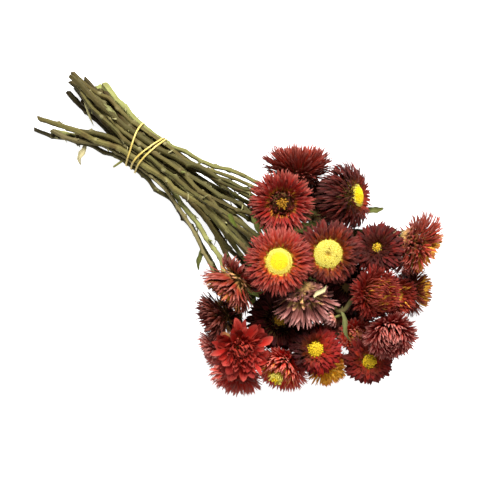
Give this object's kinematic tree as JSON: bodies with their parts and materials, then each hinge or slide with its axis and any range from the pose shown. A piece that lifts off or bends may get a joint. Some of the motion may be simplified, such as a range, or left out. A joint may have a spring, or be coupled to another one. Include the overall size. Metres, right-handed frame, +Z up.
{
  "type": "dried strawflower bunch",
  "caption": "Lying bunch of dried strawflowers with papery dark red heads on long thin stems, tied near the cut ends by a wound rubber band.",
  "frame": {"origin": "middle of the bunch's footprint, on the surface it lies on", "axes": "+X along the bunch from the cut stem ends to the flower heads, +Y across it to the left, +Z up from the surface"},
  "size_m": [0.324, 0.1888, 0.0971],
  "materials": {
    "bracts": "dry papery satin, dark red with ochre bases",
    "florets": "matt, finely tufted, yellow",
    "stems": "matt, ribbed, olive brown",
    "band": "satin, dull yellow"
  },
  "bodies": {
    "root": {"stem_01": "stems", "head_01": "bracts", "stem_02": "stems", "head_02": "bracts", "stem_03": "stems", "head_03": "bracts", "disc_03": "florets", "stem_04": "stems", "head_04": "bracts", "disc_04": "florets", "stem_05": "stems", "head_05": "bracts", "disc_05": "florets", "stem_06": "stems", "head_06": "bracts", "stem_07": "stems", "head_07": "bracts", "stem_08": "stems", "head_08": "bracts", "stem_09": "stems", "head_09": "bracts", "stem_10": "stems", "head_10": "bracts", "stem_11": "stems", "head_11": "bracts", "stem_12": "stems", "head_12": "bracts", "stem_13": "stems", "head_13": "bracts", "stem_14": "stems", "head_14": "bracts", "disc_14": "florets", "stem_15": "stems", "head_15": "bracts", "stem_16": "stems", "head_16": "bracts", "disc_16": "florets", "stem_17": "stems", "head_17": "bracts", "stem_18": "stems", "head_18": "bracts", "stem_19": "stems", "head_19": "bracts", "stem_20": "stems", "head_20": "bracts", "disc_20": "florets", "stem_21": "stems", "head_21": "bracts", "disc_21": "florets", "stem_22": "stems", "head_22": "bracts", "stem_23": "stems", "head_23": "bracts", "stem_24": "stems", "head_24": "bracts", "stem_25": "stems", "head_25": "bracts", "stem_26": "stems", "head_26": "bracts", "rubber_band": "band"}
  },
  "joints": []
}
